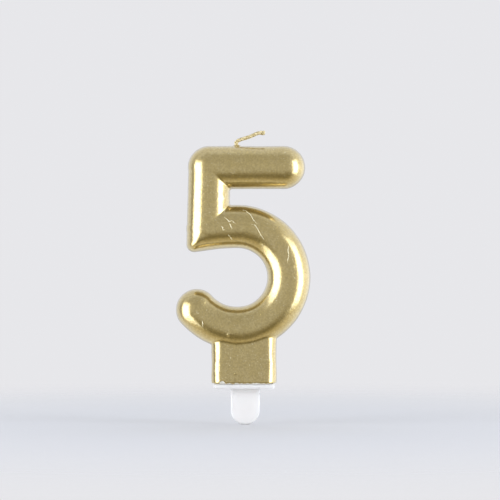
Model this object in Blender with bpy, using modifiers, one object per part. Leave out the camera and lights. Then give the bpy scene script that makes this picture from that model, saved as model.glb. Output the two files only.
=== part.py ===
"""A moulded number candle: a lacquered wax digit on a plinth, its wick, and the pick that holds it in a cake.

Metres, +Z up. The origin is the middle of the underside of the pick's flange, which sits on the cake.
The digit is read from -Y, so +X is the reader's right.
"""

import math

import bmesh
import bpy
from mathutils import Matrix, Vector

MM = 0.001
GAP = 0.3 * MM  # clearance between pieces that touch

# The strokes of the digit are round tubes, a little shallower from front to back than they are wide
DEPTH_RATIO = 0.94
BAR_RADIUS = 7.1 * MM
BAR_Z = 73.55 * MM
BAR_END_X = 13.2 * MM  # centre of the bar's round right-hand end
STEM_TOP_RADIUS = 6.9 * MM
STEM_TOP = (-11.5 * MM, BAR_Z)
STEM_FOOT = (-12.0 * MM, 53.2 * MM)
STEM_FOOT_RADIUS = 7.0 * MM
FOOT_BLUNTNESS = 3.0  # the outer corner below the stem is squarer than a half ball
BOWL_CENTRE = (-2.0 * MM, 37.0 * MM)
BOWL_SWEEP_RADIUS = 16.9 * MM
BOWL_TUBE_RADIUS = 7.1 * MM
BOWL_END_ANGLE = -142.0  # degrees, counted from +X; the bowl starts at +90, straight above its centre
BOWL_STEPS = 29
SHOULDER = (-6.5 * MM, 53.75 * MM)  # where the lower stroke passes between the stem's foot and the bowl
TAIL_GROWTH = 0.6 * MM  # how far the tail opens out from the circle
TAIL_RADIUS = 6.8 * MM
END_STEPS = 6  # rings in a stroke's round end

# Plinth, cast in one piece with the digit
PLINTH_WIDTH = 21.6 * MM
PLINTH_DEPTH = 9.6 * MM
PLINTH_TOP = 20.0 * MM  # inside the bowl's tube
PLINTH_CORNER = 4.0 * MM  # its upright edges
PLINTH_EDGE = 0.6 * MM

# Pick: flange under the plinth, tongue for the cake, tang inside the wax
FLANGE_WIDTH = 20.2 * MM
FLANGE_DEPTH = 8.6 * MM
FLANGE_HEIGHT = 1.6 * MM
FLANGE_EDGE = 0.5 * MM
TONGUE_WIDTH = 9.6 * MM
TONGUE_LENGTH = 12.0 * MM
TONGUE_X = 0.4 * MM  # the tongue is moulded slightly off the middle
PLATE_THICKNESS = 1.8 * MM
TANG_WIDTH = 7.6 * MM
TANG_TOP = 9.6 * MM
BARB_REACH = 0.8 * MM
TONGUE_EDGE = 0.5 * MM
PLINTH_FOOT = FLANGE_HEIGHT + GAP

# Wick
WICK_RADIUS = 0.7 * MM
WICK_EXIT = (-2.4 * MM, 80.7 * MM)  # the cut between the buried wick and its bare end, level with the wax
WICK_BEND = 4.0 * MM
WICK_FOOT_BEND = 4.4 * MM
WICK_BOWL_STEPS = 20  # the buried wick follows this many of the bowl's steps
CHANNEL_RADIUS = WICK_RADIUS + GAP
WICK_PIVOT = (-2.4 * MM, 81.5 * MM)  # centre of the bare end's round lower tip
WICK_TIP_MM = ((-2.3, 82.1), (-1.5, 82.7), (0.2, 83.2), (2.4, 84.0), (3.9, 84.8), (5.2, 85.1), (6.8, 85.1))

TUBE_SIDES_STEP = 7  # a curve's bevel_resolution; the tube gets 4 + 2 x this many sides
WICK_SIDES_STEP = 2


def clear_scene():
    for thing in list(bpy.data.objects):
        bpy.data.objects.remove(thing, do_unlink=True)


def collection(name):
    group = bpy.data.collections.new(name)
    bpy.context.scene.collection.children.link(group)
    return group


def principled(name, colour, roughness, metallic=0.0, transmission=0.0):
    material = bpy.data.materials.new(name)
    material.use_nodes = True
    shader = material.node_tree.nodes["Principled BSDF"]
    shader.inputs["Base Color"].default_value = (*colour, 1.0)
    shader.inputs["Roughness"].default_value = roughness
    shader.inputs["Metallic"].default_value = metallic
    shader.inputs["Transmission Weight"].default_value = transmission
    material.diffuse_color = (*colour, 1.0)
    return material


def link(thing, group):
    for old in list(thing.users_collection):
        old.objects.unlink(thing)
    group.objects.link(thing)
    return thing


def as_mesh(curve_object, group):
    """The evaluated curve as a closed mesh object: its loose caps are welded on and the curve is removed."""
    name = curve_object.name
    matrix = curve_object.matrix_world.copy()
    evaluated = curve_object.evaluated_get(bpy.context.evaluated_depsgraph_get())
    mesh = bpy.data.meshes.new_from_object(evaluated)
    bpy.data.objects.remove(curve_object, do_unlink=True)
    shape = bmesh.new()
    shape.from_mesh(mesh)
    bmesh.ops.remove_doubles(shape, verts=shape.verts, dist=0.001 * MM)
    bmesh.ops.recalc_face_normals(shape, faces=shape.faces)
    shape.to_mesh(mesh)
    shape.free()
    mesh_object = bpy.data.objects.new(name, mesh)
    mesh_object.matrix_world = matrix
    group.objects.link(mesh_object)
    return mesh_object


def tube(name, stations, group, sides_step=TUBE_SIDES_STEP, depth_ratio=1.0):
    """A closed tube along stations, each (x, z, radius), in the plane of the digit."""
    curve = bpy.data.curves.new(name, "CURVE")
    curve.dimensions = "3D"
    curve.bevel_depth = 1.0 * MM
    curve.bevel_resolution = sides_step
    curve.use_fill_caps = True
    spline = curve.splines.new("POLY")
    spline.points.add(len(stations) - 1)
    for point, (x, z, radius) in zip(spline.points, stations):
        point.co = (x, 0.0, z, 1.0)
        point.radius = radius / curve.bevel_depth
    curve_object = bpy.data.objects.new(name, curve)
    group.objects.link(curve_object)
    mesh_object = as_mesh(curve_object, group)
    mesh_object.data.transform(Matrix.Diagonal((1.0, depth_ratio, 1.0, 1.0)))
    return mesh_object


def block(name, size, centre, group, edge=0.0):
    bpy.ops.mesh.primitive_cube_add(size=1.0, location=centre)
    box = bpy.context.object
    box.name = name
    box.data.transform(Matrix.Diagonal((*size, 1.0)))
    if edge:
        bevel = box.modifiers.new("rounded edges", "BEVEL")
        bevel.width = edge
        bevel.segments = 3
    return link(box, group)


def plate(name, outline, thickness, group):
    """A flat plate in the plane of the digit: outline is (x, z) points, thickness is front to back."""
    curve = bpy.data.curves.new(name, "CURVE")
    curve.dimensions = "2D"
    curve.fill_mode = "BOTH"
    curve.extrude = thickness / 2
    spline = curve.splines.new("POLY")
    spline.points.add(len(outline) - 1)
    for point, (x, z) in zip(spline.points, outline):
        point.co = (x, z, 0.0, 1.0)
    spline.use_cyclic_u = True
    curve_object = bpy.data.objects.new(name, curve)
    curve_object.rotation_euler = (math.radians(90.0), 0.0, 0.0)
    group.objects.link(curve_object)
    bpy.context.view_layer.update()
    return as_mesh(curve_object, group)


def soften(plate_object, width):
    """Rounds a plate's rims, but not the facets along its outline."""
    bevel = plate_object.modifiers.new("soft rim", "BEVEL")
    bevel.width = width
    bevel.segments = 2
    bevel.limit_method = "ANGLE"


def hide_tool(tool):
    tool.hide_render = True
    tool.display_type = "WIRE"


def combine(target, tool, operation):
    """Adds tool to target, or cuts it away, with a Boolean that stays live on target."""
    hide_tool(tool)
    boolean = target.modifiers.new(f"{operation.lower()} {tool.name}", "BOOLEAN")
    boolean.operation = operation
    boolean.solver = "EXACT"
    boolean.object = tool


def arc(centre, radius, start, end, steps):
    """Points on a circle from start to end, in degrees, both ends included."""
    angles = [math.radians(start + (end - start) * i / steps) for i in range(steps + 1)]
    return [(centre[0] + radius * math.cos(a), centre[1] + radius * math.sin(a)) for a in angles]


def round_end(end, neighbour, bluntness=2.0):
    """Stations that close a tube beyond end with a half ball (bluntness 2) or a squarer nose (more)."""
    x, z, radius = end
    outward = Vector((x - neighbour[0], z - neighbour[1])).normalized()
    rings = []
    for i in range(1, END_STEPS + 1):
        reach = math.sin(math.radians(88.0 * i / END_STEPS))
        narrowed = (1.0 - reach**bluntness) ** (1.0 / bluntness)
        rings.append((x + outward.x * radius * reach, z + outward.y * radius * reach, radius * narrowed))
    return rings


def round_ended(stations, first_bluntness=2.0):
    first = round_end(stations[0], stations[1], first_bluntness)
    last = round_end(stations[-1], stations[-2])
    return [*reversed(first), *stations, *last]


def bowl_stations():
    """The bowl's stroke: from straight above its centre, round it and out to the tail."""
    stations = []
    for i in range(BOWL_STEPS + 1):
        angle = 90.0 + (BOWL_END_ANGLE - 90.0) * i / BOWL_STEPS
        tail = max(0.0, (-90.0 - angle) / (-90.0 - BOWL_END_ANGLE))
        sweep = BOWL_SWEEP_RADIUS + TAIL_GROWTH * tail**2
        radius = BOWL_TUBE_RADIUS + (TAIL_RADIUS - BOWL_TUBE_RADIUS) * tail
        x = BOWL_CENTRE[0] + sweep * math.cos(math.radians(angle))
        z = BOWL_CENTRE[1] + sweep * math.sin(math.radians(angle))
        stations.append((x, z, radius))
    return stations


def wick_route():
    """The buried wick: down from its exit, back along the bar, down the stem and along the bowl."""
    route = [WICK_EXIT]
    route += arc((WICK_EXIT[0] - WICK_BEND, BAR_Z + WICK_BEND), WICK_BEND, 0.0, -90.0, 5)
    route += arc((STEM_TOP[0] + WICK_BEND, BAR_Z - WICK_BEND), WICK_BEND, 100.0, 178.0, 5)
    foot = (STEM_FOOT[0] + WICK_FOOT_BEND, STEM_FOOT[1] + WICK_FOOT_BEND)
    route += arc(foot, WICK_FOOT_BEND, 182.0, 268.0, 6)
    route += [(x, z) for x, z, _ in bowl_stations()[: WICK_BOWL_STEPS + 1]]
    return route


def wick_channel():
    """The wick's route with room round it, open at the top and a little longer than the wick below."""
    channel = [(x, z, CHANNEL_RADIUS) for x, z in wick_route()]
    channel[0] = (WICK_EXIT[0], WICK_EXIT[1] + 2.0 * MM, CHANNEL_RADIUS)
    x, z, _ = bowl_stations()[WICK_BOWL_STEPS + 1]
    channel.append((x, z, CHANNEL_RADIUS))
    return channel


def make_plinth(group):
    """The block below the digit, with well rounded upright edges."""
    x, y = PLINTH_WIDTH / 2 - PLINTH_CORNER, PLINTH_DEPTH / 2 - PLINTH_CORNER
    outline = []
    for quarter, corner in enumerate(((x, y), (-x, y), (-x, -y), (x, -y))):
        outline += arc(corner, PLINTH_CORNER, 90.0 * quarter, 90.0 * (quarter + 1), 6)
    plinth = plate("plinth", outline, PLINTH_TOP - PLINTH_FOOT, group)
    plinth.rotation_euler = (0.0, 0.0, 0.0)
    plinth.location = (0.0, 0.0, (PLINTH_TOP + PLINTH_FOOT) / 2)
    soften(plinth, PLINTH_EDGE)
    return plinth


def make_numeral(group, tools):
    """The wax casting: the strokes and the plinth as one solid, with the wick's channel and tang's slot."""
    shoulder = [(*STEM_FOOT, BOWL_TUBE_RADIUS), (*SHOULDER, BOWL_TUBE_RADIUS)]
    bowl = round_ended(shoulder + bowl_stations(), FOOT_BLUNTNESS)
    bar = round_ended([(STEM_TOP[0], BAR_Z, BAR_RADIUS), (BAR_END_X, BAR_Z, BAR_RADIUS)])
    stem = [(*STEM_TOP, STEM_TOP_RADIUS), (*STEM_FOOT, STEM_FOOT_RADIUS)]
    numeral = tube("wax_numeral", bowl, group, depth_ratio=DEPTH_RATIO)
    pieces = [
        tube("stem", stem, tools, depth_ratio=DEPTH_RATIO),
        tube("bar", bar, tools, depth_ratio=DEPTH_RATIO),
        make_plinth(tools),
    ]
    for piece in pieces:
        combine(numeral, piece, "UNION")
    combine(numeral, tube("wick_channel", wick_channel(), tools, WICK_SIDES_STEP), "DIFFERENCE")
    slot_size = (TANG_WIDTH + 2 * (BARB_REACH + GAP), PLATE_THICKNESS + 2 * GAP, 2 * (TANG_TOP + GAP))
    combine(numeral, block("tang_slot", slot_size, (TONGUE_X, 0.0, 0.0), tools), "DIFFERENCE")
    return numeral


def tang_outline():
    """The tang's right-hand edge with its two barbs, from the flange up, then the left-hand edge down."""
    half = TANG_WIDTH / 2
    barbs = []
    for top in (5.4 * MM, 8.4 * MM):
        barbs += [(half, top - 2.2 * MM), (half + BARB_REACH, top - 0.4 * MM), (half, top)]
    right = [(half, 0.5 * FLANGE_HEIGHT), *barbs, (half - 1.2 * MM, TANG_TOP)]
    left = [(-x, z) for x, z in reversed(right)]
    return [(TONGUE_X + x, z) for x, z in right + left]


def make_pick(group, tools):
    """The pick: a flange that the wax stands on, a tongue below it and a barbed tang above it."""
    flange_size = (FLANGE_WIDTH, FLANGE_DEPTH, FLANGE_HEIGHT)
    pick = block("cake_pick", flange_size, (0.0, 0.0, FLANGE_HEIGHT / 2), group, FLANGE_EDGE)
    half = TONGUE_WIDTH / 2
    middle = 0.5 * FLANGE_HEIGHT
    tip_centre = (TONGUE_X, half - TONGUE_LENGTH)
    tongue = [(TONGUE_X - half, middle), *arc(tip_centre, half, 180.0, 360.0, 16), (TONGUE_X + half, middle)]
    tongue_plate = plate("tongue", tongue, PLATE_THICKNESS, tools)
    soften(tongue_plate, TONGUE_EDGE)
    combine(pick, tongue_plate, "UNION")
    combine(pick, plate("tang", tang_outline(), PLATE_THICKNESS, tools), "UNION")
    return pick


def make_wick(group):
    """The wick in two lengths: the buried one, and the bare end that bends where it leaves the wax."""
    core = tube("wick_core", [(x, z, WICK_RADIUS) for x, z in wick_route()], group, WICK_SIDES_STEP)
    bare_end = [(*WICK_PIVOT, WICK_RADIUS)] + [(x * MM, z * MM, WICK_RADIUS) for x, z in WICK_TIP_MM]
    lower_tip = round_end(bare_end[0], bare_end[1])
    tip = tube("wick_tip", [*reversed(lower_tip), *bare_end], group, WICK_SIDES_STEP)
    pivot = Vector((WICK_PIVOT[0], 0.0, WICK_PIVOT[1]))
    tip.data.transform(Matrix.Translation(-pivot))
    tip.location = pivot
    return core, tip


def main():
    clear_scene()
    candle = collection("number_candle")
    tools = collection("cutters")
    numeral = make_numeral(candle, tools)
    pick = make_pick(candle, tools)
    core, tip = make_wick(candle)
    gold = principled("gold_lacquered_wax", (0.45, 0.38, 0.16), 0.22, metallic=1.0)
    numeral.data.materials.append(gold)
    pick.data.materials.append(principled("white_pick_plastic", (0.88, 0.88, 0.88), 0.3, transmission=0.3))
    core.data.materials.append(principled("waxed_cotton", (0.85, 0.82, 0.72), 0.8))
    tip.data.materials.append(principled("gold_coated_cotton", (0.5, 0.42, 0.18), 0.45, metallic=0.6))
    for piece in (numeral, core, tip):
        piece.data.shade_smooth()
        piece.data.set_sharp_from_angle(angle=math.radians(40.0))


main()
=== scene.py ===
import math

import bpy
import numpy as np
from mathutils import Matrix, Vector


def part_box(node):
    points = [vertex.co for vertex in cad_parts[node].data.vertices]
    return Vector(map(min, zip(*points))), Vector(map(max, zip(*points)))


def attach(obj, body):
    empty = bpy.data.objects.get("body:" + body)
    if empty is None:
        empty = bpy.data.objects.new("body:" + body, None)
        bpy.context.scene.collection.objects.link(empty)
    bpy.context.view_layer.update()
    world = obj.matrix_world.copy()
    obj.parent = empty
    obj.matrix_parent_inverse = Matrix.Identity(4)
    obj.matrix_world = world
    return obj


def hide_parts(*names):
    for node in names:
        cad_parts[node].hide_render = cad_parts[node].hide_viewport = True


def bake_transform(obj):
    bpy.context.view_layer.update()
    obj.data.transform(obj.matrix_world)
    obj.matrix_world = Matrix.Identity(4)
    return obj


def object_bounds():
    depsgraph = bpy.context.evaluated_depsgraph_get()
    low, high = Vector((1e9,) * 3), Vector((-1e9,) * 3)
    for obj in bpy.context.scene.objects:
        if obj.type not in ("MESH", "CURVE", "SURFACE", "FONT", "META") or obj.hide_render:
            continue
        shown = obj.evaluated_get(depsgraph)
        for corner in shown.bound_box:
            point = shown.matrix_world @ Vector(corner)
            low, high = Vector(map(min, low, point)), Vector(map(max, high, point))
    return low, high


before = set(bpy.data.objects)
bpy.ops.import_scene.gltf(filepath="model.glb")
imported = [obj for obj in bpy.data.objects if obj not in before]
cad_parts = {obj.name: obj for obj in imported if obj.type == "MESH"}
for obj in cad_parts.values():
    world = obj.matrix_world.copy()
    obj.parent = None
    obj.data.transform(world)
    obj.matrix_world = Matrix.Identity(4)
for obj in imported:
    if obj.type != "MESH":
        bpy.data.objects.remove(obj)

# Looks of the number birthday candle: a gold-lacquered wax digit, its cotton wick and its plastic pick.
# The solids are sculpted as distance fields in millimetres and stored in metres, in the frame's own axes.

MM = 0.001
CAD_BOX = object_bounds()

# The digit's strokes, in millimetres: round tubes, a little shallower from front to back than they are wide
DEPTH_RATIO = 0.94
BAR_RADIUS = 7.1
BAR_Z = 73.55
BAR_LEFT_X = -11.5
BAR_RIGHT_X = 13.2
STEM_FOOT_X = -12.0
STEM_RADIUS = 6.95
FOOT_Z = 53.2
FOOT_ROUNDING = 3.0  # the outer corner below the stem is squarer than the bar's
FRONT_ROUNDING = 0.5  # and it is a crisp mitre towards the front
RUN_ON = 9.0  # the stem and the shoulder are run on this far past their corner to make the foot
RUN_IN = 2.0  # and the shoulder's run-on starts this far inside it
STEM_TOP_GAP = 0.5  # the stem's own stroke starts this far below the bar's axis
STEM_FOOT_GAP = 2.0  # and ends this far above its foot
BOWL_CENTRE = (-2.0, 37.0)
BOWL_SWEEP_RADIUS = 16.9
BOWL_TUBE_RADIUS = 7.1
BOWL_SPAN = 232.0  # degrees, clockwise from straight above the bowl's centre
STRAIGHT_SPAN = 180.0  # the part of it that is a true circle
TAIL_GROWTH = 0.6
TAIL_RADIUS = 6.8
SHOULDER_DROP = FOOT_Z - (BOWL_CENTRE[1] + BOWL_SWEEP_RADIUS)
CREASE = 0.8  # lacquer fills the creases between strokes to about this width

PLINTH_HALF = (10.8, 4.8)
PLINTH_FOOT = 1.68
PLINTH_TOP = 20.0
PLINTH_CORNER = 4.0  # rounding of its four upright edges
PLINTH_EDGE = 0.6
SLOT_HALF = (4.9, 1.2)
SLOT_TOP = 9.9
CHIP = (-7.3, -4.9, 1.5)  # a flake of wax is missing from the plinth's lower edge
CHIP_RADIUS = 0.95
BARE_TOP = 1.86  # the lacquer ends at about this height, and the wax below it is bare
BARE_RADIUS = 1.2  # and it has come off this far round the chip
CRUMPLE = (-5.0, 63.5)  # the skin is uneven here, in the notch between stem and bar
SEAM_HEIGHT = 0.06  # parting line of the two-part mould
SEAM_HALF = 0.3

# Drips and specks of lacquer on the front: x, z, height and width
SPECKS = (
    (-2.7, 5.2, 0.22, 0.32),
    (-3.1, 3.3, 0.14, 0.3),
    (-5.1, 18.2, 0.25, 0.35),
    (-5.0, 22.3, -0.15, 0.5),
    (-3.6, 71.1, 0.16, 0.28),
    (9.4, 52.0, 0.1, 0.3),
    (16.2, 40.5, 0.12, 0.3),
)

# Hairline cracks in the lacquer, as (x, z) corners on the front
CRACKS = (
    ((-0.7, 59.4), (0.8, 59.0), (2.4, 57.6), (3.1, 56.1), (4.5, 54.5)),
    ((2.2, 54.8), (3.7, 54.3), (4.6, 52.9), (5.5, 51.1), (6.8, 49.3)),
    ((-6.7, 57.3), (-4.7, 55.4), (-4.0, 55.9), (-2.7, 54.6)),
    ((-4.8, 55.1), (-4.5, 54.2), (-3.8, 53.1)),
    ((-7.5, 54.0), (-7.0, 53.5), (-6.9, 52.6), (-6.3, 52.9)),
    ((-5.2, 51.2), (-4.6, 50.4), (-3.8, 49.5)),
    ((14.8, 47.9), (14.6, 46.0), (14.8, 44.4), (14.3, 41.7)),
    ((-13.9, 22.8), (-13.6, 21.6), (-13.8, 20.6)),
)
CRACK_RADIUS = 0.11

# Pick: flange, tongue and barbed tang of one moulding
PICK_X = 0.4
FLANGE_HALF = (10.1, 4.3)
FLANGE_TOP = 1.6
FLANGE_EDGE = 0.55
TONGUE_HALF = 4.8
TONGUE_LENGTH = 12.0
PLATE_HALF = 0.9
TONGUE_EDGE = 0.6
TANG_HALF = 3.8
TANG_TOP = 9.6
BARB_TOPS = (5.4, 8.4)
BARB_REACH = 0.8

# Wick: two-stage cord, strands wound one way and their plies the other
COLLAR_RADIUS = 1.15
COLLAR_TOP = 81.05
WICK_X = -2.4
WICK_CORNERS = (
    (-2.2, 79.9), (-2.3, 80.8), (-2.65, 81.6), (-2.2, 82.35), (-0.9, 82.95),
    (0.8, 83.45), (2.6, 84.1), (4.1, 84.8), (5.3, 85.1), (6.8, 85.05),
)
STRANDS = 3
STRAND_OFFSET = 0.3
STRAND_PITCH = 3.0
PLIES = 3
PLY_OFFSET = 0.17
PLY_PITCH = -1.5
PLY_RADIUS = 0.19
FRAY = 0.45  # the strands open out by this share at the cut end
HAIRS = 26  # loose fibres
END_HAIRS = 16  # of which this many are at the cut end

NUMERAL_STEP, NUMERAL_QUICK_STEP = 0.31, 0.6
PICK_STEP, PICK_QUICK_STEP = 0.2, 0.4
NUMERAL_MARGIN = 0.4  # the numeral is meshed this far beyond its CAD solid's box, as its seam stands proud


# ---------------------------------------------------------------- distance fields

def soft_min(a, b, width):
    """Union of two fields whose crease is filled over about width."""
    overlap = np.maximum(width - np.abs(a - b), 0.0) / width
    return np.minimum(a, b) - overlap**2 * width / 4


def round_max(a, b, radius):
    """Intersection of two fields whose outer edge is rounded to radius."""
    corner = np.hypot(np.maximum(radius + a, 0.0), np.maximum(radius + b, 0.0))
    return np.minimum(-radius, np.maximum(a, b)) + corner


def straight_stroke(x, y, z, start, end, radius):
    run = (end[0] - start[0], end[1] - start[1])
    along = ((x - start[0]) * run[0] + (z - start[1]) * run[1]) / (run[0] ** 2 + run[1] ** 2)
    along = np.clip(along, 0.0, 1.0)
    off_x = x - start[0] - along * run[0]
    off_z = z - start[1] - along * run[1]
    return np.sqrt(off_x**2 + off_z**2 + y**2) - radius


def bent_stroke(x, y, z, centre, first_angle, span, sweep_radius, tube_radius):
    """A tube along a clockwise arc. Both radii are functions of the degrees gone round."""
    angle = np.degrees(np.arctan2(z - centre[1], x - centre[0]))
    gone = (first_angle - angle) % 360.0
    gone = np.where(gone > (span + 360.0) / 2, 0.0, np.minimum(gone, span))
    sweep = sweep_radius(gone)
    at = np.radians(first_angle - gone)
    off_x = x - centre[0] - sweep * np.cos(at)
    off_z = z - centre[1] - sweep * np.sin(at)
    return np.sqrt(off_x**2 + off_z**2 + y**2) - tube_radius(gone)


def rounded_box(x, y, z, low, high, edge):
    offsets = []
    for value, a, b in zip((x, y, z), low, high):
        offsets.append(np.abs(value - (a + b) / 2) - (b - a) / 2 + edge)
    outside = np.sqrt(sum(np.maximum(offset, 0.0) ** 2 for offset in offsets))
    inside = np.minimum(np.maximum(np.maximum(offsets[0], offsets[1]), offsets[2]), 0.0)
    return outside + inside - edge


def waves(x, y, z, length, count, seed):
    """Smooth hills and hollows about length across, between about -1 and 1."""
    rng = np.random.default_rng(seed)
    total = 0.0
    for _ in range(count):
        way = rng.normal(size=3)
        way /= np.linalg.norm(way)
        stretch = rng.uniform(0.7, 1.4)
        phase = rng.uniform(0.0, 2 * math.pi)
        turn = 2 * math.pi / (length * stretch)
        total = total + np.sin(turn * (way[0] * x + way[1] * y + way[2] * z) + phase)
    return total / math.sqrt(count)


def bump_at(x, z, centre, width):
    """1 at centre of the digit's face, fading to nothing over about width."""
    return np.exp(-((x - centre[0]) ** 2 + (z - centre[1]) ** 2) / (2 * width**2))


def tail(gone):
    """0 along the bowl's true circle, 1 at the tip of the tail."""
    return np.maximum(0.0, gone - STRAIGHT_SPAN) / (BOWL_SPAN - STRAIGHT_SPAN)


def stem_x(height):
    """Where the leaning stem's axis is at a height."""
    lean = (STEM_FOOT_X - BAR_LEFT_X) / (FOOT_Z - BAR_Z)
    return BAR_LEFT_X + lean * (height - BAR_Z)


def digit_field(x, y, z):
    """The five strokes of the digit as one smooth body."""
    y = y / DEPTH_RATIO
    bar = straight_stroke(x, y, z, (BAR_LEFT_X, BAR_Z), (BAR_RIGHT_X, BAR_Z), BAR_RADIUS)
    top, bottom = BAR_Z - STEM_TOP_GAP, FOOT_Z + STEM_FOOT_GAP
    stem = straight_stroke(x, y, z, (stem_x(top), top), (stem_x(bottom), bottom), STEM_RADIUS)
    # the shoulder is a shallow arc that leaves the top of the bowl level and drops to the stem's foot
    half_run = BOWL_CENTRE[0] - STEM_FOOT_X
    shoulder_radius = (half_run**2 + SHOULDER_DROP**2) / (2 * -SHOULDER_DROP)
    shoulder_top = BOWL_CENTRE[1] + BOWL_SWEEP_RADIUS
    shoulder_centre = (BOWL_CENTRE[0], shoulder_top - shoulder_radius)
    shoulder_span = math.degrees(math.asin(half_run / shoulder_radius))
    shoulder = bent_stroke(
        x, y, z, shoulder_centre, 90.0 + shoulder_span, shoulder_span,
        lambda gone: shoulder_radius, lambda gone: BOWL_TUBE_RADIUS,
    )
    bowl = bent_stroke(
        x, y, z, BOWL_CENTRE, 90.0, BOWL_SPAN,
        lambda gone: BOWL_SWEEP_RADIUS + TAIL_GROWTH * tail(gone) ** 2,
        lambda gone: BOWL_TUBE_RADIUS + (TAIL_RADIUS - BOWL_TUBE_RADIUS) * tail(gone),
    )
    # the foot is where the stem and the shoulder, both run on past their corner, overlap
    below = FOOT_Z - RUN_ON
    long_stem = straight_stroke(x, y, z, (stem_x(top), top), (stem_x(below), below), STEM_RADIUS)
    slope = math.tan(math.radians(shoulder_span))
    beyond = (STEM_FOOT_X - RUN_ON, FOOT_Z - RUN_ON * slope)
    within = (STEM_FOOT_X + RUN_IN, FOOT_Z + RUN_IN * slope)
    long_shoulder = straight_stroke(x, y, z, beyond, within, BOWL_TUBE_RADIUS)
    aside = np.clip(1.0 - (y / STEM_RADIUS) ** 2, 0.0, 1.0) ** 2
    foot = round_max(long_stem, long_shoulder, FRONT_ROUNDING + (FOOT_ROUNDING - FRONT_ROUNDING) * aside)
    lower = np.minimum(shoulder, bowl)
    # the only creases to fill are beside the stem, off the fronts, where strokes run level with each other
    inward = np.clip((x - stem_x(z)) / 3.0, 0.03, 1.0)
    crease = CREASE * np.clip(1.0 - (y / STEM_RADIUS) ** 2, 0.03, 1.0) * inward
    digit = soft_min(soft_min(bar, stem, crease), lower, crease)
    return np.minimum(digit, foot)


def numeral_field(x, y, z):
    """The whole casting: digit, plinth, wick collar, casting marks and the slot for the pick's tang."""
    digit = digit_field(x, y, z)
    digit = digit + 0.035 * waves(x, y, z, 11.0, 9, seed=3)
    crumple = bump_at(x, z, CRUMPLE, 1.6)
    digit = digit - 0.05 * crumple * waves(x, y, z, 2.2, 7, seed=8)
    seam = np.exp(-((y / SEAM_HALF) ** 2)) * (SEAM_HEIGHT + 0.02 * waves(x, y, z, 5.0, 5, seed=1))
    digit = digit - seam
    sides = round_max(np.abs(x) - PLINTH_HALF[0], np.abs(y) - PLINTH_HALF[1], PLINTH_CORNER)
    ends = np.abs(z - (PLINTH_TOP + PLINTH_FOOT) / 2) - (PLINTH_TOP - PLINTH_FOOT) / 2
    plinth = round_max(sides, ends, PLINTH_EDGE)
    plinth = plinth + 0.05 * waves(x, y, z, 7.0, 7, seed=12) + 0.015 * waves(x, y, z, 2.5, 7, seed=5)
    body = soft_min(digit, plinth, 0.6)
    collar = np.hypot(x - WICK_X, y) - COLLAR_RADIUS + 0.5 * np.clip(z - BAR_Z - BAR_RADIUS, 0.0, 1.0)
    body = soft_min(body, round_max(collar, np.abs(z - COLLAR_TOP + 1.5) - 1.5, 0.2), 0.7)
    for speck_x, speck_z, height, width in SPECKS:
        body = body - height * bump_at(x, z, (speck_x, speck_z), width) * (y < 0.0)
    chip = np.sqrt((x - CHIP[0]) ** 2 / 2 + (y - CHIP[1]) ** 2 + (z - CHIP[2]) ** 2) - CHIP_RADIUS
    body = round_max(body, -chip, 0.15)
    slot_low = (PICK_X - SLOT_HALF[0], -SLOT_HALF[1], -SLOT_TOP)
    slot_high = (PICK_X + SLOT_HALF[0], SLOT_HALF[1], SLOT_TOP)
    slot = rounded_box(x, y, z, slot_low, slot_high, 0.2)
    return round_max(body, -slot, 0.3)


def pick_field(x, y, z):
    """The moulded pick: flange, round-ended tongue below it, barbed tang above it."""
    low = (-FLANGE_HALF[0], -FLANGE_HALF[1], 0.0)
    high = (FLANGE_HALF[0], FLANGE_HALF[1], FLANGE_TOP)
    flange = rounded_box(x, y, z, low, high, FLANGE_EDGE)
    thickness = np.abs(y) - PLATE_HALF
    bottom = TONGUE_HALF - TONGUE_LENGTH
    nearest = np.clip(z, bottom, FLANGE_TOP / 2)
    outline = np.hypot(x - PICK_X, z - nearest) - TONGUE_HALF
    outline = np.maximum(outline, z - FLANGE_TOP / 2)
    tongue = round_max(outline, thickness, TONGUE_EDGE)
    half = np.full_like(z, TANG_HALF)
    for top in BARB_TOPS:
        rise = np.clip((z - top + 2.2) / 1.8, 0.0, 1.0)
        half = np.maximum(half, TANG_HALF + BARB_REACH * np.where(z < top, rise, 0.0))
    half = half - np.clip(z - BARB_TOPS[-1], 0.0, 1.2)
    tang = round_max(np.abs(x - PICK_X) - half, np.abs(z - TANG_TOP / 2) - TANG_TOP / 2, 0.2)
    tang = round_max(tang, thickness, 0.2)
    pick = soft_min(soft_min(flange, tongue, 0.5), tang, 0.4)
    return pick + 0.012 * waves(x, y, z, 6.0, 7, seed=21)


# ---------------------------------------------------------------- surfaces from fields

def slopes(field, points, reach=0.02):
    """The field's gradient at each point."""
    found = np.empty_like(points)
    for axis in range(3):
        ahead, behind = points.copy(), points.copy()
        ahead[:, axis] += reach
        behind[:, axis] -= reach
        found[:, axis] = (field(*ahead.T) - field(*behind.T)) / (2 * reach)
    return found


def settle(field, points, rounds, longest):
    """Moves points onto the field's surface, none further than longest at a time."""
    for _ in range(rounds):
        slope = slopes(field, points)
        steepness = np.maximum((slope**2).sum(1), 0.05)
        move = slope * (field(*points.T) / steepness)[:, None]
        length = np.maximum(np.linalg.norm(move, axis=1), 1e-9)
        points = points - move * np.minimum(1.0, longest / length)[:, None]
    return points


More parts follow.
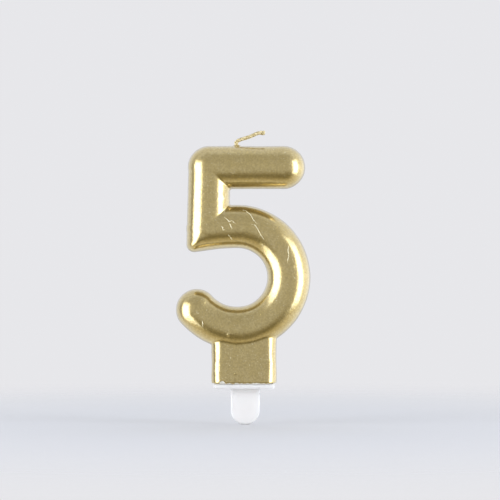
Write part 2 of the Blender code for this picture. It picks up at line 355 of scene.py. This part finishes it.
def skin(name, field, low, high, step):
    """A smooth quad mesh on the zero surface of field, between the corners low and high, in millimetres."""
    axes = [np.arange(low[i] - 2 * step, high[i] + 3 * step, step) for i in range(3)]
    value = field(*np.meshgrid(*axes, indexing="ij"))
    inside = value < 0.0
    shape = np.array(inside.shape) - 1
    corners = [(i, j, k) for i in (0, 1) for j in (0, 1) for k in (0, 1)]

    def at(grid, corner):
        i, j, k = corner
        return grid[i : i + shape[0], j : j + shape[1], k : k + shape[2]]

    count = sum(at(inside, corner).astype(np.int8) for corner in corners)
    mixed = (count > 0) & (count < 8)
    number = np.full(mixed.shape, -1)
    number[mixed] = np.arange(mixed.sum())
    # each mixed cell's vertex starts at the mean of the crossings on the cell's edges
    total = np.zeros((mixed.sum(), 3))
    crossings = np.zeros((mixed.sum(), 1))
    for a in corners:
        for axis in range(3):
            if a[axis]:
                continue
            b = tuple(1 if i == axis else a[i] for i in range(3))
            first, second = at(value, a)[mixed], at(value, b)[mixed]
            crossed = (first < 0.0) != (second < 0.0)
            share = first / np.where(crossed, first - second, 1.0)
            spot = np.tile(np.array(a, float), (len(first), 1))
            spot[:, axis] = share
            total += np.where(crossed[:, None], spot, 0.0)
            crossings += crossed[:, None]
    cell = np.argwhere(mixed)
    points = (cell + total / crossings) * step + [axis[0] for axis in axes]
    # a face stands across each grid edge that the surface crosses
    faces = []
    for axis in range(3):
        u, v = [i for i in range(3) if i != axis]
        before = [slice(1, -1)] * 3
        before[axis] = slice(0, -1)
        after = list(before)
        after[axis] = slice(1, None)
        start, end = inside[tuple(before)], inside[tuple(after)]
        edge = np.argwhere(start != end)
        leaving = start[start != end]
        base = edge + [0 if i == axis else 1 for i in range(3)]
        ring = []
        for du, dv in ((0, 0), (1, 0), (1, 1), (0, 1)):
            place = base.copy()
            place[:, u] -= du
            place[:, v] -= dv
            ring.append(number[tuple(place.T)])
        quads = np.stack(ring, 1)
        flip = leaving if axis == 1 else ~leaving
        quads[flip] = quads[flip][:, ::-1]
        faces.append(quads)
    faces = np.concatenate(faces)
    points = settle(field, points, 2, step)
    for _ in range(3):
        points = settle(field, relaxed(points, faces), 2, step / 2)
    mesh = bpy.data.meshes.new(name)
    mesh.from_pydata((points * MM).tolist(), [], faces.tolist())
    mesh.shade_smooth()
    mesh.validate()
    thing = bpy.data.objects.new(name, mesh)
    bpy.context.scene.collection.objects.link(thing)
    return thing


def relaxed(points, faces):
    """Each point moved half way to the mean of its neighbours along the faces' edges."""
    total = np.zeros_like(points)
    count = np.zeros(len(points))
    for i in range(4):
        a, b = faces[:, i], faces[:, (i + 1) % 4]
        for one, other in ((a, b), (b, a)):
            for axis in range(3):
                total[:, axis] += np.bincount(one, points[other, axis], len(points))
            count += np.bincount(one, minlength=len(points))
    return (points + total / count[:, None]) / 2


def front_of(x, z):
    """Where the numeral's front surface lies, at each (x, z)."""
    near, far = np.full(len(x), -8.0), np.zeros(len(x))
    for _ in range(18):
        middle = (near + far) / 2
        outside = numeral_field(x, middle, z) > 0.0
        near = np.where(outside, middle, near)
        far = np.where(outside, far, middle)
    return near


# ---------------------------------------------------------------- tubes along curves

def travelled(points):
    """The length along a curve at each of its points."""
    steps = np.linalg.norm(np.diff(points, axis=0), axis=1)
    return np.concatenate([[0.0], np.cumsum(steps)])


def smooth_curve(corners, step):
    """Points about step apart on a Catmull-Rom curve through corners."""
    corners = np.array(corners, float)
    padded = np.concatenate([[2 * corners[0] - corners[1]], corners, [2 * corners[-1] - corners[-2]]])
    points = []
    for before, start, end, after in zip(padded, padded[1:], padded[2:], padded[3:]):
        for t in np.linspace(0.0, 1.0, 12, endpoint=False):
            bend = (before - 3 * start + 3 * end - after) * -t**3
            bend += (2 * before - 5 * start + 4 * end - after) * t**2
            points.append((bend + (end - before) * t + 2 * start) / 2)
    points = np.array(points + [corners[-1]])
    length = travelled(points)
    even = np.linspace(0.0, length[-1], int(length[-1] / step) + 1)
    return np.stack([np.interp(even, length, points[:, axis]) for axis in range(3)], 1)


def frames(points):
    """Two directions square to the curve at each point, which don't spin round it."""
    tangent = np.gradient(points, axis=0)
    tangent /= np.linalg.norm(tangent, axis=1)[:, None]
    first = np.cross(tangent[0], (0.1, 1.0, 0.2))
    normals = []
    for along in tangent:
        first = first - along * first.dot(along)
        first = first / np.linalg.norm(first)
        normals.append(first)
    normals = np.array(normals)
    return normals, np.cross(tangent, normals)


def wound(points, count, offset, pitch):
    """count curves wound evenly round a curve, one turn for each pitch."""
    across, up = frames(points)
    angle = 2 * math.pi * travelled(points) / pitch
    curves = []
    for i in range(count):
        turn = (angle + 2 * math.pi * i / count)[:, None]
        curves.append(points + np.reshape(offset, (-1, 1)) * (across * np.cos(turn) + up * np.sin(turn)))
    return curves


def tubes(name, paths, sides):
    """One mesh of closed tubes. Each path is its points and its radius at each point, in millimetres."""
    vertices, faces = [], []
    around = np.arange(sides) * 2 * math.pi / sides
    for points, radius in paths:
        across, up = frames(points)
        first = len(vertices)
        for point, a, b, r in zip(points, across, up, radius):
            ring = point + r * (np.cos(around)[:, None] * a + np.sin(around)[:, None] * b)
            vertices.extend((ring * MM).tolist())
        for i in range(len(points) - 1):
            start = first + i * sides
            for k in range(sides):
                after = (k + 1) % sides
                faces.append((start + k, start + after, start + sides + after, start + sides + k))
        faces.append([first + k for k in reversed(range(sides))])
        faces.append([len(vertices) - sides + k for k in range(sides)])
    mesh = bpy.data.meshes.new(name)
    mesh.from_pydata(vertices, [], faces)
    mesh.shade_smooth()
    thing = bpy.data.objects.new(name, mesh)
    bpy.context.scene.collection.objects.link(thing)
    return thing


# ---------------------------------------------------------------- materials

class Shader:
    """A short way to write a Principled material's node tree."""

    def __init__(self, name):
        self.material = bpy.data.materials.new(name)
        self.material.use_nodes = True
        self.nodes = self.material.node_tree.nodes
        self.links = self.material.node_tree.links
        self.surface = self.nodes["Principled BSDF"]
        self.place = self.nodes.new("ShaderNodeTexCoord").outputs["Object"]

    def add(self, kind, **inputs):
        node = self.nodes.new("ShaderNode" + kind)
        for name, value in inputs.items():
            self.feed(node.inputs[name.replace("_", " ")], value)
        return node

    def feed(self, socket, value):
        if isinstance(value, bpy.types.NodeSocket):
            self.links.new(value, socket)
        else:
            socket.default_value = value

    def set(self, **inputs):
        for name, value in inputs.items():
            self.feed(self.surface.inputs[name.replace("_", " ")], value)

    def noise(self, scale, detail=2.0, roughness=0.5):
        node = self.add("TexNoise", Vector=self.place, Scale=scale, Detail=detail, Roughness=roughness)
        return node.outputs["Fac"]

    def band(self, value, low, high, from_low=0.0, to_high=1.0):
        """value mapped from low..high to from_low..to_high, and held there beyond."""
        node = self.nodes.new("ShaderNodeMapRange")
        self.feed(node.inputs["Value"], value)
        for name, number in zip(("From Min", "From Max", "To Min", "To Max"), (low, high, from_low, to_high)):
            node.inputs[name].default_value = number
        return node.outputs["Result"]

    def maths(self, operation, a, b=0.0):
        node = self.nodes.new("ShaderNodeMath")
        node.operation = operation
        self.feed(node.inputs[0], a)
        self.feed(node.inputs[1], b)
        return node.outputs[0]

    def mix(self, share, first, second):
        node = self.nodes.new("ShaderNodeMix")
        node.data_type = "RGBA"
        self.feed(node.inputs["Factor"], share)
        self.feed(node.inputs["A"], first)
        self.feed(node.inputs["B"], second)
        return node.outputs["Result"]

    def bump(self, height, strength, distance, normal=None):
        node = self.add("Bump", Height=height, Strength=strength, Distance=distance)
        if normal:
            self.feed(node.inputs["Normal"], normal)
        return node.outputs["Normal"]


def gold_lacquer():
    """Metallic lacquer over wax: flake grain, uneven coats, pinholes, and bare wax where it has chipped."""
    shader = Shader("gold_lacquer")
    coats = shader.noise(300.0, 2.0)
    mottle = shader.noise(850.0, 3.0, 0.6)
    grain = shader.noise(3400.0, 2.0, 0.6)
    speckle = shader.noise(1700.0, 2.0, 0.7)
    flakes = shader.noise(2400.0, 0.0)
    gold = shader.mix(shader.band(coats, 0.35, 0.65), (0.555, 0.430, 0.160, 1.0), (0.580, 0.462, 0.200, 1.0))
    gold = shader.mix(shader.band(mottle, 0.40, 0.70, 0.0, 0.7), gold, (0.47, 0.355, 0.125, 1.0))
    gold = shader.mix(shader.band(speckle, 0.40, 0.66, 0.0, 0.8), gold, (0.43, 0.33, 0.12, 1.0))
    gold = shader.mix(shader.band(flakes, 0.74, 0.88, 0.0, 0.7), gold, (0.88, 0.81, 0.56, 1.0))
    bare = bare_wax(shader)
    shader.set(Base_Color=shader.mix(bare, gold, (0.83, 0.80, 0.70, 1.0)))
    shader.set(Metallic=shader.band(bare, 0.0, 1.0, 0.86, 0.0))
    fine_satin = shader.band(grain, 0.3, 0.7, 0.08, 0.13)
    satin = shader.maths("ADD", fine_satin, shader.band(mottle, 0.3, 0.7, 0.07, 0.12))
    shader.set(Roughness=shader.maths("ADD", satin, shader.band(bare, 0.0, 1.0, 0.0, 0.35)))
    shader.set(Coat_Weight=0.9, Coat_Roughness=0.1, Coat_IOR=1.7)
    peel = shader.bump(shader.noise(700.0, 2.0), 0.09, 0.0006)
    fine = shader.bump(grain, 0.10, 0.00006, peel)
    pits = shader.add("TexVoronoi", Vector=shader.place, Scale=330.0)
    pinhole = shader.band(pits.outputs["Distance"], 0.02, 0.07)
    shader.set(Normal=shader.bump(pinhole, 0.4, 0.00012, fine))
    return shader.material


def bare_wax(shader):
    """1 where the lacquer never reached or has come off: a ragged line along the foot, and the chip."""
    height = shader.add("SeparateXYZ", Vector=shader.place).outputs["Z"]
    ragged = shader.band(shader.noise(800.0, 3.0, 0.6), 0.3, 0.7, -0.0003, 0.0003)
    foot = shader.band(shader.maths("ADD", height, ragged), (BARE_TOP + 0.02) * MM, (BARE_TOP - 0.02) * MM)
    away = shader.add("VectorMath", Vector=shader.place)
    away.operation = "DISTANCE"
    away.inputs[1].default_value = [value * MM for value in CHIP]
    near = shader.maths("ADD", away.outputs["Value"], shader.maths("MULTIPLY", ragged, 0.7))
    return shader.maths("MAXIMUM", foot, shader.band(near, BARE_RADIUS * MM, (BARE_RADIUS - 0.05) * MM))


def cracked_lacquer():
    """The lifted edge of a crack: thin, pale lacquer with wax showing through."""
    shader = Shader("cracked_lacquer")
    worn = shader.band(shader.noise(1800.0, 2.0), 0.35, 0.65)
    shader.set(Base_Color=shader.mix(worn, (0.78, 0.68, 0.40, 1.0), (0.90, 0.84, 0.62, 1.0)))
    shader.set(Metallic=shader.band(worn, 0.0, 1.0, 0.8, 0.3))
    shader.set(Roughness=shader.band(worn, 0.0, 1.0, 0.25, 0.45))
    shader.set(Normal=shader.bump(shader.noise(6000.0), 0.3, 0.00004))
    return shader.material


def gilded_cotton():
    """Cotton that was dipped with the candle: gold, with darker and lighter threads and paler patches of gold
    at random.
    """
    shader = Shader("gilded_cotton")
    patches = shader.band(shader.noise(1500.0, 3.0), 0.35, 0.62)
    threads = shader.noise(9000.0, 2.0, 0.7)
    gold = shader.mix(shader.band(threads, 0.35, 0.7), (0.58, 0.47, 0.22, 1.0), (0.40, 0.31, 0.13, 1.0))
    shader.set(Base_Color=shader.mix(patches, gold, (0.80, 0.71, 0.46, 1.0)))
    shader.set(Metallic=shader.band(patches, 0.0, 1.0, 0.75, 1.0))
    shader.set(Roughness=shader.band(threads, 0.3, 0.7, 0.24, 0.42))
    shader.set(Normal=shader.bump(threads, 0.4, 0.00005))
    return shader.material


def waxed_cotton():
    """The wick inside the candle: cream cotton soaked with wax, with the cord's slanting strands."""
    shader = Shader("waxed_cotton")
    strands = shader.add("TexWave", Vector=shader.place, Scale=650.0, Distortion=3.0)
    strands.bands_direction = "DIAGONAL"
    soaked = shader.band(shader.noise(1200.0, 3.0), 0.35, 0.65)
    shader.set(Base_Color=shader.mix(soaked, (0.84, 0.80, 0.68, 1.0), (0.74, 0.68, 0.52, 1.0)))
    shader.set(Roughness=shader.band(soaked, 0.0, 1.0, 0.85, 0.55))
    fibres = shader.bump(shader.noise(9000.0, 3.0), 0.3, 0.00005)
    shader.set(Normal=shader.bump(strands.outputs["Fac"], 0.6, 0.0002, fibres))
    return shader.material


def pick_plastic():
    """Thin milky plastic, faintly cloudy, with the mould's fine satin texture and a few scuffs."""
    shader = Shader("milky_plastic")
    milk = shader.band(shader.noise(160.0, 2.0), 0.35, 0.65)
    satin = shader.noise(4500.0, 3.0, 0.6)
    shader.set(Base_Color=shader.mix(milk, (0.862, 0.835, 0.805, 1.0), (0.897, 0.870, 0.840, 1.0)))
    scuffs = shader.add("TexWave", Vector=shader.place, Scale=190.0, Distortion=14.0, Detail=4.0)
    scuffed = shader.band(scuffs.outputs["Fac"], 0.9, 1.0, 0.0, 0.12)
    shader.set(Roughness=shader.maths("ADD", shader.band(satin, 0.3, 0.7, 0.26, 0.38), scuffed))
    shader.set(Subsurface_Weight=0.6, Subsurface_Scale=0.003, Subsurface_Radius=(1.0, 0.95, 0.95))
    shader.set(Transmission_Weight=0.06, IOR=1.49)
    shader.set(Normal=shader.bump(satin, 0.08, 0.00004))
    return shader.material


# ---------------------------------------------------------------- studio

# The studio's light round the candle, one list for each side. Each entry is an angle in degrees from the
# direction that the digit faces, with the brightness there and its warmth. LOWER_LIGHT is dim and warm in
# front, as over a wooden table.
LEFT_LIGHT = (
    (0, 0.66, 0.0), (20, 0.69, 0.0), (30, 0.75, 0.0), (38, 0.90, 0.0), (86, 0.80, 0.0), (94, 0.34, -0.1),
    (102, 0.34, -0.1), (112, 0.95, -0.15), (150, 0.95, -0.1), (180, 0.55, 0.0),
)
RIGHT_LIGHT = (
    (0, 0.66, 0.0), (22, 0.67, 0.0), (34, 0.75, 0.0), (44, 0.95, 0.0), (86, 1.65, -0.05), (128, 1.6, -0.15),
    (150, 0.95, -0.1), (180, 0.55, 0.0),
)
UPPER_LIGHT = (
    (0, 0.63, 0.0), (20, 0.63, 0.0), (34, 0.57, 0.0), (64, 0.56, 0.0), (72, 0.68, -0.1), (85, 0.88, -0.15),
    (100, 0.95, -0.1), (150, 0.95, -0.1), (180, 0.55, 0.0),
)
LOWER_LIGHT = (
    (0, 0.64, 0.0), (14, 0.63, 0.0), (24, 0.54, 0.1), (34, 0.32, 0.4), (44, 0.19, 0.6), (53, 0.24, 0.6),
    (61, 0.48, 0.45), (70, 0.74, 0.35), (90, 0.95, 0.12), (125, 1.1, -0.1), (180, 0.55, 0.0),
)
BACKDROP = (0.80, 0.80, 0.825, 1.0)  # what the camera sees behind the candle

# Softboxes: azimuth from the front, half-width, elevation and half-height, all in degrees, and radiance
LIGHT_DISTANCE = 0.8
SOFTBOXES = {
    "left_softbox": (-62.0, 20.5, -6.0, 32.0, 4.4),
    "right_softbox": (65.0, 14.5, 4.0, 26.0, 4.4),
}
SOFT_COLOUR = (0.94, 1.0, 1.12)
SOFT_EDGE = (0.78, 1.0, 1.22)  # each softbox is three nested panels, so that it dims towards its edges
PANEL_GAP = 0.01  # the panels stand one behind another, as level ones would hide each other


def mixed_sky():
    """A soft studio all round: a pale sweep behind, a dimmer front, a dim band between sweep and lights."""
    world = bpy.data.worlds.new("studio")
    bpy.context.scene.world = world
    world.use_nodes = True
    nodes, links = world.node_tree.nodes, world.node_tree.links
    background = nodes["Background"]
    split = nodes.new("ShaderNodeSeparateXYZ")
    links.new(nodes.new("ShaderNodeTexCoord").outputs["Generated"], split.inputs[0])

    def maths(operation, *values):
        node = nodes.new("ShaderNodeMath")
        node.operation = operation
        for socket, value in zip(node.inputs, values):
            if isinstance(value, bpy.types.NodeSocket):
                links.new(value, socket)
            else:
                socket.default_value = value
        return node.outputs[0]

    def ramp(position, stops):
        node = nodes.new("ShaderNodeValToRGB")
        links.new(position, node.inputs[0])
        elements = node.color_ramp.elements
        while len(elements) < len(stops):
            elements.new(0.5)
        for element, (angle, level, warmth) in zip(elements, sorted(stops, reverse=True)):
            element.position = (1.0 + math.cos(math.radians(angle))) / 2
            element.color = (level, level * (1.0 - 0.3 * warmth), level * (1.0 - warmth), 1.0)
        return node.outputs[0]

    # where a direction lies between straight back (0) and straight to the front (1)
    front = maths("ADD", 0.5, maths("MULTIPLY", split.outputs["Y"], -0.5))
    across, height = split.outputs["X"], split.outputs["Z"]
    aside = maths("SQRT", maths("ADD", maths("POWER", across, 2.0), maths("POWER", height, 2.0)))
    tilt = maths("DIVIDE", height, maths("MAXIMUM", aside, 0.001))
    rightness = maths("MAXIMUM", maths("ADD", 0.5, maths("MULTIPLY", across, 5.0)), 0.0)
    rightness = maths("MINIMUM", rightness, 1.0)

    def mix(share, first, second):
        node = nodes.new("ShaderNodeMix")
        node.data_type = "RGBA"
        links.new(share, node.inputs["Factor"])
        for name, value in (("A", first), ("B", second)):
            if isinstance(value, bpy.types.NodeSocket):
                links.new(value, node.inputs[name])
            else:
                node.inputs[name].default_value = value
        return node.outputs["Result"]

    light = mix(rightness, ramp(front, LEFT_LIGHT), ramp(front, RIGHT_LIGHT))
    light = mix(maths("MAXIMUM", tilt, 0.0), light, ramp(front, UPPER_LIGHT))
    lowness = maths("MAXIMUM", maths("SUBTRACT", maths("MULTIPLY", tilt, -1.5), 0.2), 0.0)
    light = mix(maths("MINIMUM", lowness, 1.0), light, ramp(front, LOWER_LIGHT))
    seen = nodes.new("ShaderNodeLightPath").outputs["Is Camera Ray"]
    links.new(mix(seen, light, BACKDROP), background.inputs["Color"])
    background.inputs["Strength"].default_value = 1.0


def make_softboxes(centre):
    for name, (azimuth, half_width, elevation, half_height, radiance) in SOFTBOXES.items():
        a, e = math.radians(azimuth), math.radians(elevation)
        out = Vector((math.sin(a) * math.cos(e), -math.cos(a) * math.cos(e), math.sin(e)))
        for i, share in enumerate(SOFT_EDGE):
            light = bpy.data.lights.new(name, "AREA")
            light.shape = "RECTANGLE"
            light.size = 2 * LIGHT_DISTANCE * math.tan(math.radians(half_width * share))
            light.size_y = 2 * LIGHT_DISTANCE * math.tan(math.radians(half_height * share))
            light.energy = radiance / len(SOFT_EDGE) * math.pi * light.size * light.size_y
            light.color = SOFT_COLOUR
            lamp = bpy.data.objects.new(name, light)
            lamp.location = centre + out * (LIGHT_DISTANCE + PANEL_GAP * i)
            lamp.rotation_euler = out.to_track_quat("Z", "Y").to_euler()
            lamp.visible_camera = False
            bpy.context.scene.collection.objects.link(lamp)


def make_floor(level):
    """A pale floor that fades into the backdrop away from the candle."""
    bpy.ops.mesh.primitive_circle_add(vertices=96, radius=0.9, fill_type="NGON", location=(0.0, 0.0, level))
    floor = bpy.context.object
    floor.name = "studio_floor"
    material = bpy.data.materials.new("pale_floor")
    material.use_nodes = True
    material.surface_render_method = "BLENDED"
    nodes, links = material.node_tree.nodes, material.node_tree.links
    paint = nodes["Principled BSDF"]
    paint.inputs["Base Color"].default_value = (0.66, 0.66, 0.67, 1.0)
    paint.inputs["Roughness"].default_value = 0.9
    paint.inputs["Specular IOR Level"].default_value = 0.1
    length = nodes.new("ShaderNodeVectorMath")
    length.operation = "LENGTH"
    links.new(nodes.new("ShaderNodeTexCoord").outputs["Object"], length.inputs[0])
    fade = nodes.new("ShaderNodeMapRange")
    fade.interpolation_type = "SMOOTHSTEP"
    for name, value in (("From Min", 0.04), ("From Max", 0.3), ("To Min", 1.0), ("To Max", 0.0)):
        fade.inputs[name].default_value = value
    links.new(length.outputs["Value"], fade.inputs["Value"])
    links.new(fade.outputs["Result"], paint.inputs["Alpha"])
    floor.data.materials.append(material)
    floor.visible_glossy = False


def make_camera():
    """Level and square to the digit's front, from far enough to see it almost without perspective."""
    camera = bpy.data.cameras.new("camera")
    camera.sensor_width = 36.0
    distance = 0.9
    field_width = 0.1665
    camera.lens = camera.sensor_width * distance / field_width
    eye = bpy.data.objects.new("camera", camera)
    eye.location = (0.002, -distance, 0.0461)
    eye.rotation_euler = (math.radians(90.0), 0.0, 0.0)
    bpy.context.scene.collection.objects.link(eye)
    bpy.context.scene.camera = eye
    bpy.context.scene.view_settings.view_transform = "Standard"


# ---------------------------------------------------------------- the candle

def make_numeral():
    low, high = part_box("wax_numeral")
    low = [v / MM - NUMERAL_MARGIN for v in low]
    high = [v / MM + NUMERAL_MARGIN for v in high]
    step = NUMERAL_STEP
    numeral = skin("gold_numeral", numeral_field, low, high, step)
    numeral.data.materials.append(gold_lacquer())
    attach(numeral, "candle")
    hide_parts("wax_numeral")


def make_cracks():
    """Raised hairlines where the lacquer has cracked, half sunk in the numeral's surface."""
    rng = np.random.default_rng(4)
    paths = []
    for corners in CRACKS:
        corners = np.array(corners)
        length = travelled(corners)
        along = np.arange(0.0, length[-1], 0.22)
        x, z = (np.interp(along, length, corners[:, i]) + rng.normal(0.0, 0.045, len(along)) for i in (0, 1))
        taper = np.sqrt(np.sin(math.pi * (along + 0.05) / (length[-1] + 0.1)))
        radius = CRACK_RADIUS * taper * rng.uniform(0.6, 1.25, len(along))
        paths.append((np.stack([x, front_of(x, z) + 0.02, z], 1), radius))
    cracks = tubes("lacquer_cracks", paths, 6)
    cracks.data.materials.append(cracked_lacquer())
    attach(cracks, "candle")


def make_wick():
    """The bare end of the wick: a cord of strands and plies that opens out a little where it was cut."""
    centre = smooth_curve([(x, 0.0, z) for x, z in WICK_CORNERS], 0.12)
    left = travelled(centre)[-1] - travelled(centre)
    opening = 1.0 + FRAY * np.clip(1.0 - left / 1.8, 0.0, 1.0)
    paths = []
    for strand in wound(centre, STRANDS, STRAND_OFFSET * opening, STRAND_PITCH):
        for ply in wound(strand, PLIES, PLY_OFFSET * opening, PLY_PITCH):
            paths.append((ply, np.full(len(ply), PLY_RADIUS)))
    paths += loose_fibres(centre)
    wick = tubes("wick_end", paths, 8)
    wick.data.materials.append(gilded_cotton())
    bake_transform(wick)
    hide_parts("wick_tip")


def loose_fibres(centre):
    """Short stiff hairs: most stand out of the cut end, a few along the cord."""
    rng = np.random.default_rng(9)
    across, up = frames(centre)
    tangent = np.cross(across, up)
    hairs = []
    for i in range(HAIRS):
        at_end = i < END_HAIRS
        at = len(centre) - 4 if at_end else rng.integers(30, len(centre) - 12)
        turn = rng.uniform(0.0, 2 * math.pi)
        out = math.cos(turn) * across[at] + math.sin(turn) * up[at]
        start = centre[at] + out * rng.uniform(0.1, 0.5)
        lean = rng.uniform(0.1, 0.6) if at_end else rng.uniform(0.5, 0.9)
        way = tangent[at] * (1.0 - lean) + out * lean
        reach = rng.uniform(0.35, 0.75)
        curl = rng.normal(0.0, 0.15, 3)
        hair = [start + way * reach * t + curl * t**2 for t in np.linspace(0.0, 1.0, 5)]
        hairs.append((np.array(hair), np.linspace(0.045, 0.02, 5)))
    return hairs


def make_pick():
    low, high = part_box("cake_pick")
    low = [v / MM for v in low]
    high = [v / MM for v in high]
    pick = skin("milky_pick", pick_field, low, high, PICK_STEP)
    pick.data.materials.append(pick_plastic())
    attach(pick, "pick")
    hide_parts("cake_pick")


def dress_wick_core():
    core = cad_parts["wick_core"]
    for material_slot in core.material_slots:
        material_slot.material = waxed_cotton()


make_camera()
mixed_sky()
make_softboxes(Vector((0.0, 0.0, 0.045)))
make_floor(CAD_BOX[0][2])
make_numeral()
make_cracks()
make_wick()
make_pick()
dress_wick_core()
